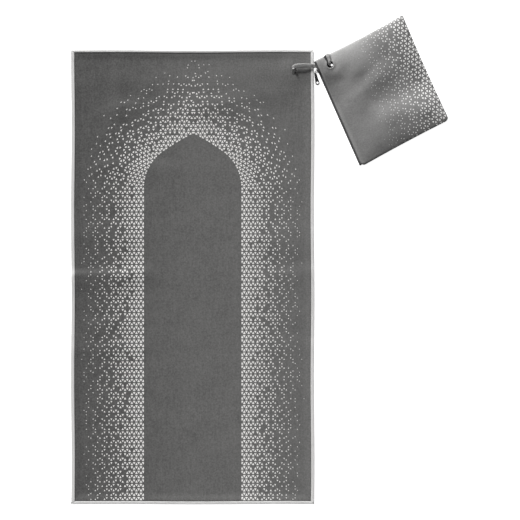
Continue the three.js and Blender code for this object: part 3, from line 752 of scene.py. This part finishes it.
# One stitch, along x: a low rounded dash of thread
STITCH_PITCH, STITCH_IN = 3.6, 1.6  # from one to the next, and in from the tape's inner edge
STITCH_REACH = 0.5  # how far along to both sides its direction is measured
STITCH_RADIUS, STITCH_UP = 0.24, 0.16
STITCH_SHANK, STITCH_TIP = 0.8, 1.2  # how far its round part and its tips lie from its middle
STITCH_ROUND = [
    (STITCH_RADIUS * math.cos(a), STITCH_UP + STITCH_RADIUS * math.sin(a))
    for a in np.linspace(0, 2 * math.pi, 6, endpoint=False)
]
STITCH = np.array(
    [(-STITCH_TIP, 0, -0.1)]
    + [(x, y, z) for x in (-STITCH_SHANK, STITCH_SHANK) for y, z in STITCH_ROUND]
    + [(STITCH_TIP, 0, -0.1)]
)
NEXT_SIDE = [(i, (i + 1) % 6) for i in range(6)]
STITCH_FACES = (
    [(0, 1 + j, 1 + i) for i, j in NEXT_SIDE]
    + [(1 + i, 1 + j, 7 + j, 7 + i) for i, j in NEXT_SIDE]
    + [(13, 7 + i, 7 + j) for i, j in NEXT_SIDE]
)


def tape_section(width):
    """The folded tape's section as distance in from the edge and height, round it once.

    Its top dips a little along the stitches, and its bend is an oval.
    """
    high, turn, inner_high = TAPE_TALL, TAPE_TALL / 2, TAPE_TALL - TAPE_THIN
    top = [(width, high - 0.45), (width - 0.35, high - 0.2), (width - 1.6, high - 0.3)]
    top.append((width / 2, high - 0.08))
    bend = [
        (turn * 0.62 * (1 - math.sin(a)), turn + turn * math.cos(a))
        for a in np.linspace(0, math.pi, 11)
    ]
    inside = [(width, TAPE_THIN), (TAPE_THIN, TAPE_THIN), (TAPE_THIN, inner_high), (width, inner_high)]
    return np.array(top + bend + [(width / 2, 0.0)] + inside)


def stitch_place(to_mat, width, at):
    """A stitch's middle and its directions, that far along the tape."""
    ends = []
    for step in (-STITCH_REACH, STITCH_REACH):
        s, t = to_mat(width - STITCH_IN, at + step)
        ends.append(on_mat(s, t, mat_lift(s, t) + TAPE_TALL - 0.2))
    x = unit(ends[1] - ends[0])
    y = np.cross((0, 0, 1), x)
    return ends[0] / 2 + ends[1] / 2, x, y, np.cross(x, y)


def binding(side):
    """A length of tape folded over the mat's edge, mitred at its ends, and its stitches."""
    near, far, length, to_mat = BINDINGS[side]
    width = TAPE_WIDTH[side]
    d, h = tape_section(width).T
    near_cut = d * TAPE_WIDTH[near] / width
    far_cut = length - d * TAPE_WIDTH[far] / width
    stations = np.linspace(0, length, int(length / RING_STEP) + 1)
    routes = [near_cut + MITRE_GAP]
    for station in stations[1:-1]:
        routes.append(np.clip(station, near_cut + MITRE_CLEAR, far_cut - MITRE_CLEAR))
    routes.append(far_cut - MITRE_GAP)
    rings = []
    for along in routes:
        s, t = to_mat(d, along)
        pucker = 0.1 * ripple(s, t, 7, 11.5) * (h > TAPE_THICK + 1)
        rings.append(on_mat(s, t, mat_lift(s, t) + h + pucker))
    tape = tube_object(f"binding_{side}_tape", rings, TAPE, False)
    along_tape = np.arange(width * 2, length - width * 2, STITCH_PITCH)
    places = [stitch_place(to_mat, width, at) for at in along_tape]
    stitches = many_object(f"binding_{side}_stitches", STITCH, STITCH_FACES, places, THREAD)
    return tape, stitches


bindings = {side: binding(side) for side in BINDINGS}


# The pouch

PANEL_CORNERS = [(True, True, 11), (False, True, 9), (True, False, 4)]  # far, foot, radius
PANEL_THIN = 0.9
FRONT_EDGE, BACK_EDGE = 1.55, 0.95  # the height of each panel's middle where they are sewn
FRONT_CURL, BACK_CURL = 4, 3  # how far in from there they come apart
BACK_DROP = 0.5
HEM_TALL, LIP_TALL, GROOVE_DEEP = 0.7, 0.9, 1.6
LIP_OUT, LIP_REACH, GROOVE_REACH = 9, 4, 2  # the lip's crest from the eyelet's middle, and their reach


def round_corner(u, v):
    """Moves points near the panels' rounded corners in onto their arcs."""
    u, v = u.copy(), v.copy()
    for far, foot, radius in PANEL_CORNERS:
        fx = radius - (POUCH_WIDTH - u if far else u - SEAM)
        fy = radius - (POUCH_HEIGHT - v if foot else v)
        inside = (fx > 0) & (fy > 0)
        shrink = np.where(inside, np.maximum(fx, fy) / np.maximum(np.hypot(fx, fy), 1e-9), 1)
        from_side, from_end = radius - fx * shrink, radius - fy * shrink
        u = np.where(inside, POUCH_WIDTH - from_side if far else SEAM + from_side, u)
        v = np.where(inside, POUCH_HEIGHT - from_end if foot else from_end, v)
    return u, v


def curl(u, v, reach):
    """0 at the sewn edges, rising on a quarter round to 1 that far in."""
    inside = np.minimum(np.minimum(v, POUCH_HEIGHT - v), POUCH_WIDTH - u)
    k = np.clip(inside / reach, 0, 1)
    return np.sqrt(1 - (1 - k) ** 2)


def front_middle(u, v):
    """The middle of the front panel's thickness, with its hem by the zip and its eyelet's lip."""
    ru, rv = round_corner(u, v)
    full = front_height(u, v) + POUCH_THICK - PANEL_THIN / 2
    hem = HEM_TALL * smoothstep(u, SEAM, SEAM + 1.5) * (1 - smoothstep(u, SEAM + 4, SEAM + 8))
    from_eyelet = np.hypot(u - POUCH_EYELET[0], v - POUCH_EYELET[1])
    lip = LIP_TALL * np.exp(-(((from_eyelet - LIP_OUT) / LIP_REACH) ** 2))
    groove = GROOVE_DEEP * np.exp(-((to_segment(u, v, *GROOVE) / GROOVE_REACH) ** 2))
    crumple = 0.4 * ripple(u, v, 30, 13.5) + 0.15 * ripple(u, v, 12, 17.5)
    free = full + hem + lip - groove - FRONT_EDGE + crumple * smoothstep(u, SEAM, 40)
    return on_pouch(ru, rv, FRONT_EDGE + free * curl(u, v, FRONT_CURL))


def back_middle(u, v):
    """The middle of the back panel's thickness."""
    ru, rv = round_corner(u, v)
    return on_pouch(ru, rv, BACK_EDGE - BACK_DROP * curl(u, v, BACK_CURL))


edge_lines = [0, 0.25, 0.8, 1.8, 3.2, 5, 7.2, 10]
seam_lines = [SEAM + d for d in (0, 0.4, 1.2, 2.4, 4, 6, 8)]
panel_across = np.union1d(
    lines(seam_lines + [POUCH_WIDTH - d for d in edge_lines], 3.2),
    fine_lines(POUCH_EYELET[0], 13, 13, 1.3),
)
panel_down = np.union1d(
    lines(edge_lines + [POUCH_HEIGHT - d for d in edge_lines], 3.2),
    fine_lines(POUCH_EYELET[1], 25.7, 13, 1.3),
)
pouch_front = sheet_object(
    "pouch_front_panel", panel_across, panel_down, front_middle, POUCH_EYELET, PANEL_THIN, POUCH_FRONT
)
pouch_back = sheet_object(
    "pouch_back_panel", panel_across, panel_down, back_middle, BACK_EYELET, PANEL_THIN, POUCH_BACK
)


# The zip

# Two rows of teeth that mesh, on a tape that goes in between the panels
TOOTH_U, TOOTH_UP, TOOTH_PITCH = 2.05, 2.2, 1.7
TOOTH_LEAN, TOOTH_STEP = 0.22, 0.08  # how far the two rows lean apart and lie apart
TOOTH_WIDE, TOOTH_LONG, TOOTH_TALL = 1.9, 0.62, 0.55  # half its size out from the pouch, along and up
TOOTH_END = 0.45  # half its length at its top and its bottom
TOOTH = np.array(
    [
        (x * TOOTH_WIDE, y * long, z * TOOTH_TALL)
        for z, long in ((-1, TOOTH_END), (0.4, TOOTH_LONG), (1, TOOTH_END))
        for x, y in SQUARE
    ]
)
TOOTH_FACES = [(3, 2, 1, 0), (8, 9, 10, 11)] + [
    (k * 4 + i, k * 4 + (i + 1) % 4, k * 4 + 4 + (i + 1) % 4, k * 4 + 4 + i)
    for k in range(2)
    for i in range(4)
]
ZIP_TAPE = [(0.4, 1.55), (0.4, 1.95), (9, 2.25), (16, 2.25), (16, 1.85), (9, 1.85)]  # u and height


def tooth_place(v, side):
    """A tooth's middle and directions; side is 1 or -1."""
    origin = on_pouch(TOOTH_U, v, TOOTH_UP)
    y = unit(on_pouch(TOOTH_U, v + 1, TOOTH_UP) - origin)
    x = np.array((*ACROSS, 0.0))
    z = np.cross(x, y)
    z = z if z[2] > 0 else -z
    return origin + z * side * TOOTH_STEP, x + y * side * TOOTH_LEAN, y, z


teeth = [
    tooth_place(v, 1 if k % 2 else -1)
    for k, v in enumerate(np.arange(3.0, POUCH_HEIGHT - 6, TOOTH_PITCH))
]
zip_teeth = many_object("zip_teeth", TOOTH, TOOTH_FACES, teeth, COIL)
tape_rings = [[on_pouch(u, v, up) for u, up in ZIP_TAPE] for v in lines([2, POUCH_HEIGHT - 3.5], 5)]
zip_tape = tube_object("zip_tape", tape_rings, COIL, False)


def plate(name, outline, holes, low, high, bevel, where):
    """A flat metal plate with holes and softened edges; where is its x, y and z directions and origin."""
    bm = bmesh.new()
    for loop in [outline, *holes]:
        corners = [bm.verts.new((a, b, low)) for a, b in loop]
        for a, b in zip(corners, corners[1:] + corners[:1]):
            bm.edges.new((a, b))
    bmesh.ops.triangle_fill(bm, use_beauty=True, use_dissolve=False, edges=bm.edges[:])
    made = bmesh.ops.extrude_face_region(bm, geom=bm.faces[:])
    top = [g for g in made["geom"] if isinstance(g, bmesh.types.BMVert)]
    bmesh.ops.translate(bm, verts=top, vec=(0, 0, high - low))
    bmesh.ops.recalc_face_normals(bm, faces=bm.faces[:])
    bmesh.ops.dissolve_limit(bm, angle_limit=0.01, verts=bm.verts[:], edges=bm.edges[:])
    sharp = [e for e in bm.edges if len(e.link_faces) == 2 and e.calc_face_angle() > 0.7]
    bmesh.ops.bevel(bm, geom=sharp, offset=bevel, segments=2, affect="EDGES", profile=0.5)
    bmesh.ops.triangulate(bm, faces=[f for f in bm.faces if len(f.verts) > 4])
    points = np.array([v.co[:] for v in bm.verts])
    faces = [tuple(v.index for v in f.verts) for f in bm.faces]
    bm.free()
    *directions, origin = where
    return new_object(name, origin + points @ np.array(directions), faces, METAL)


def arc(x, y, radius, start, end, steps):
    """Points along an arc, from angle to angle in degrees."""
    angles = np.radians(np.linspace(start, end, steps))
    return [(x + radius * math.cos(a), y + radius * math.sin(a)) for a in angles]


# The slider's place: x points out from the pouch, y down along the zip
SLIDER_U, SLIDER_V, SLIDER_HALF = 2.0, 26.5, 5.5
slider_at = on_pouch(SLIDER_U, SLIDER_V, 0.0)
slider_head = on_pouch(SLIDER_U, SLIDER_V - SLIDER_HALF, 0.0)
slider_y = unit(on_pouch(SLIDER_U, SLIDER_V + SLIDER_HALF, 0.0) - slider_head)
slider_z = unit(np.array((0, 0, 1.0)) - slider_y * slider_y[2])
slider_x = np.cross(slider_y, slider_z)
SLIDER_WINGS = [
    (-3.6, -4.6), (-2.9, -5.5), (2.9, -5.5), (3.6, -4.6), (3.6, 0.5),
    (2.7, 5.0), (2.1, 5.5), (-2.1, 5.5), (-2.7, 5.0), (-3.6, 0.5),
]  # fmt: skip
SLIDER_WALL = [(2.5, -5.0), (3.6, -5.0), (3.6, 4.0), (2.5, 4.0)]
SLIDER_BAIL = [
    (3.1, -3.2), (5.7, -3.2), (6.5, -2.4), (6.5, 2.4), (5.7, 3.2), (3.1, 3.2),
    (3.1, 2.3), (5.6, 2.3), (5.6, -2.3), (3.1, -2.3),
]  # fmt: skip
# Each part's outline, its height from and to, and its bevel
SLIDER_PARTS = {
    "top": (SLIDER_WINGS, 3.5, 4.7, 0.35),
    "foot": (SLIDER_WINGS, -0.7, 0.5, 0.35),
    "wall": (SLIDER_WALL, 0.3, 3.7, 0.2),
    "bail": (SLIDER_BAIL, 1.5, 2.5, 0.2),
}
on_slider = (slider_x, slider_y, slider_z, slider_at)
slider_parts = [
    plate(f"zip_slider_{part}", outline, [], low, high, bevel, on_slider)
    for part, (outline, low, high, bevel) in SLIDER_PARTS.items()
]

# The link: a ring of wire round the bail and through the pull tab's eye
LINK_OUT, LINK_UP, LINK_RADIUS, LINK_WIRE = 6.75, 2.0, 2.0, 0.4
link_at = slider_at + slider_x * LINK_OUT + slider_z * LINK_UP
link_rings = []
for a in np.linspace(0, 2 * math.pi, 32, endpoint=False):
    out = slider_x * math.cos(a) + slider_z * math.sin(a)
    ring = [
        link_at + out * (LINK_RADIUS + LINK_WIRE * math.cos(b)) + slider_y * LINK_WIRE * math.sin(b)
        for b in np.linspace(0, 2 * math.pi, 10, endpoint=False)
    ]
    link_rings.append(ring)
zip_link = tube_object("zip_link_ring", link_rings, METAL, True)

# The pull tab: its eye at the origin and its tip down -y, leaning down to the floor
PULL_LENGTH, PULL_THICK, PULL_TURN = 33.0, 1.3, math.radians(14)
PULL_OUT, PULL_CLEAR = 9.2, 0.1  # from the slider's middle, and over the floor at its tip
PULL_TIP, PULL_EYE = 5.0, 2.3  # the radii of its ends
PULL_TIP_HOLE, PULL_EYE_HOLE = 2.8, 1.5
pull_at = slider_at + slider_x * PULL_OUT + slider_z * LINK_UP
drop = math.asin((pull_at[2] - PULL_THICK / 2 - PULL_CLEAR) / PULL_LENGTH)
pull_x = np.array((math.cos(PULL_TURN), math.sin(PULL_TURN), 0))
level = math.cos(drop)
pull_y = np.array((-math.sin(PULL_TURN) * level, math.cos(PULL_TURN) * level, math.sin(drop)))
tip_y = PULL_TIP - PULL_LENGTH
tab = [(-2.9, -5), (-PULL_TIP, tip_y)] + arc(0, tip_y, PULL_TIP, 180, 360, 17)[1:-1]
tab += [(PULL_TIP, tip_y), (2.9, -5), (PULL_EYE, -1.5)]
tab += arc(0, 0, PULL_EYE, 0, 180, 11) + [(-PULL_EYE, -1.5)]
zip_pull = plate(
    "zip_pull_tab",
    tab,
    [arc(0, 0, PULL_EYE_HOLE, 0, 330, 12), arc(0, tip_y + 1, PULL_TIP_HOLE, 0, 345, 24)],
    low=-PULL_THICK / 2,
    high=PULL_THICK / 2,
    bevel=0.25,
    where=(pull_x, pull_y, np.cross(pull_x, pull_y), pull_at),
)


# The band: on the mat a row gives s and t, on the pouch u and v; then its height, width, thickness,
# the direction in plan of its width and how far that leans up, in degrees.
BAND = [
    ("mat", 553.4, 1071, 0.85, 6.6, 1.4, 90, 0),
    ("mat", 559, 1072.2, 0.6, 7.5, 1, 90, 0),
    ("mat", 568, 1074.5, 0.6, 9, 1, 96, 0),
    ("mat", 583, 1078, 0.6, 9.5, 1, 96, 0),
    ("mat", 600, 1080, 0.6, 9, 1, 88, 0),
    ("pouch", 12, 17, 0.6, 9, 1, 84, 0),
    ("pouch", 21, 22.5, 0.9, 8, 1.1, 90, 0),
    ("pouch", 30.6, 26.6, 3, 6.4, 1.6, 108, 0),
    ("pouch", 32.6, 26, 7, 5.4, 2, 146, 0),
    ("pouch", 33.6, 23.8, 11.1, 5.6, 2, 186, 0),
    ("pouch", 36.4, 18, 13.1, 6.4, 1.7, 202, 0),
    ("pouch", 37.8, 10, 12.9, 7.8, 1.6, 207, 0),
    ("pouch", 38.2, 3.4, 12.7, 8.6, 1.6, 208, 0),
    ("pouch", 38, -1, 11.3, 9.6, 1.5, 208, 0),
    ("pouch", 36.8, -2.8, 8.4, 11, 1.4, 208, 0),
    ("pouch", 36.6, -1.2, 5.4, 10.5, 1.3, 208, 0),
    ("pouch", 36, 2.8, 4.5, 10, 1.3, 204, 0),
    ("pouch", 31.6, 8.4, 4.3, 8.5, 1.3, 184, 0),
    ("pouch", 20, 12, 4.4, 8, 1.3, 140, 0),
    ("pouch", 9, 12.8, 5.3, 8, 1.3, 112, 0),
    ("mat", 601.5, 1080, 7.3, 8.5, 1.3, 92, 2),
    ("mat", 594, 1080.3, 9.2, 9.6, 2.2, 90, 8),
    ("mat", 582, 1080.6, 9.8, 10.2, 2.8, 90, 13),
    ("mat", 567, 1080.6, 10.4, 10.4, 3.0, 90, 13),
    ("mat", 555, 1079, 10.1, 10, 3.0, 94, 11),
    ("mat", 548.6, 1075, 9.4, 9, 2.8, 100, 8),
    ("mat", 549.6, 1071.4, 6.9, 7, 2.6, 94, 0),
    ("mat", 551, 1070.8, 3, 6.4, 2.6, 90, 0),
]
BAND_STEPS, BAND_SIDES = 260, 16
BAND_REACH = 1e-4  # how far along to both sides its direction is measured


def round_place(rows, at):
    """The four rows of a closed list round a place, and how far past the second it lies."""
    rows = np.asarray(rows, float)
    place = at * len(rows)
    k = int(place)
    return [rows[(k + j - 1) % len(rows)] for j in range(4)], place - k


def cubic(p1, p2, t1, t2, w):
    """From p1 to p2 as w goes from 0 to 1, leaving and arriving at those speeds."""
    return p1 + t1 * w + (3 * (p2 - p1) - 2 * t1 - t2) * w**2 + (2 * (p1 - p2) + t1 + t2) * w**3


def through(points, at):
    """A closed centripetal curve through points, at 0 to 1 along it."""
    (p0, p1, p2, p3), w = round_place(points, at)
    d0, d1, d2 = (max(np.linalg.norm(b - a) ** 0.5, 1e-4) for a, b in ((p0, p1), (p1, p2), (p2, p3)))
    t1 = ((p1 - p0) / d0 - (p2 - p0) / (d0 + d1) + (p2 - p1) / d1) * d1
    t2 = ((p2 - p1) / d1 - (p3 - p1) / (d1 + d2) + (p3 - p2) / d2) * d1
    return cubic(p1, p2, t1, t2, w)


def evenly(values, at):
    """A closed even curve through values, at 0 to 1 along it."""
    (p0, p1, p2, p3), w = round_place(values, at)
    return cubic(p1, p2, (p2 - p0) / 2, (p3 - p1) / 2, w)


def softened(value, power):
    """A sine or cosine pushed out towards -1 or 1, so that a round section becomes a strap's."""
    return math.copysign(abs(value) ** power, value)


def band_ring(route, sizes, at):
    """The band's section at 0 to 1 along its route."""
    middle = through(route, at)
    tangent = unit(through(route, (at + BAND_REACH) % 1) - through(route, (at - BAND_REACH) % 1))
    width, thick, turn, tilt = evenly(sizes, at)
    turn, tilt = math.radians(turn), math.radians(tilt)
    wide = np.array((math.cos(turn), math.sin(turn), math.tan(tilt)))
    wide = unit(wide - tangent * wide.dot(tangent))
    up = np.cross(tangent, wide)
    ring = []
    for i in range(BAND_SIDES):
        angle = 2 * math.pi * (i + 0.5) / BAND_SIDES
        across = wide * (0.5 * width * softened(math.cos(angle), 0.5))
        ring.append(middle + across + up * 0.5 * thick * softened(math.sin(angle), 0.6))
    return ring


def band_rings():
    """The band's sections along its whole closed route."""
    route = []
    for kind, a, b, z, *_ in BAND:
        if kind == "mat":
            route.append(on_mat(a, b, z))
        else:
            route.append(np.array((*(pouch_plan(a, b) + SHIFT), z)))
    sizes = [row[4:] for row in BAND]
    return [band_ring(route, sizes, k / BAND_STEPS) for k in range(BAND_STEPS)]


tie_band = tube_object("tie_band_strap", band_rings(), BAND_FABRIC, True)


# What each piece stands for

pairs = [
    (mat_cloth, "mat_cloth", "mat_fabric"),
    (pouch_front, "pouch_front", "pouch_fabric"),
    (pouch_back, "pouch_back", "pouch_fabric"),
    (zip_teeth, "zip_chain", "zip_coil"),
    (zip_tape, "zip_chain", "zip_coil"),
    (zip_link, "zip_link", "zip_metal"),
    (zip_pull, "zip_pull", "zip_metal"),
    (tie_band, "tie_band", "band_fabric"),
]
pairs += [(part, "zip_slider", "zip_metal") for part in slider_parts]
pairs += [(part, f"binding_{side}", "binding_tape") for side in bindings for part in bindings[side]]
for made, node, finish in pairs:
    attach(made, "root")
    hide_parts(node)
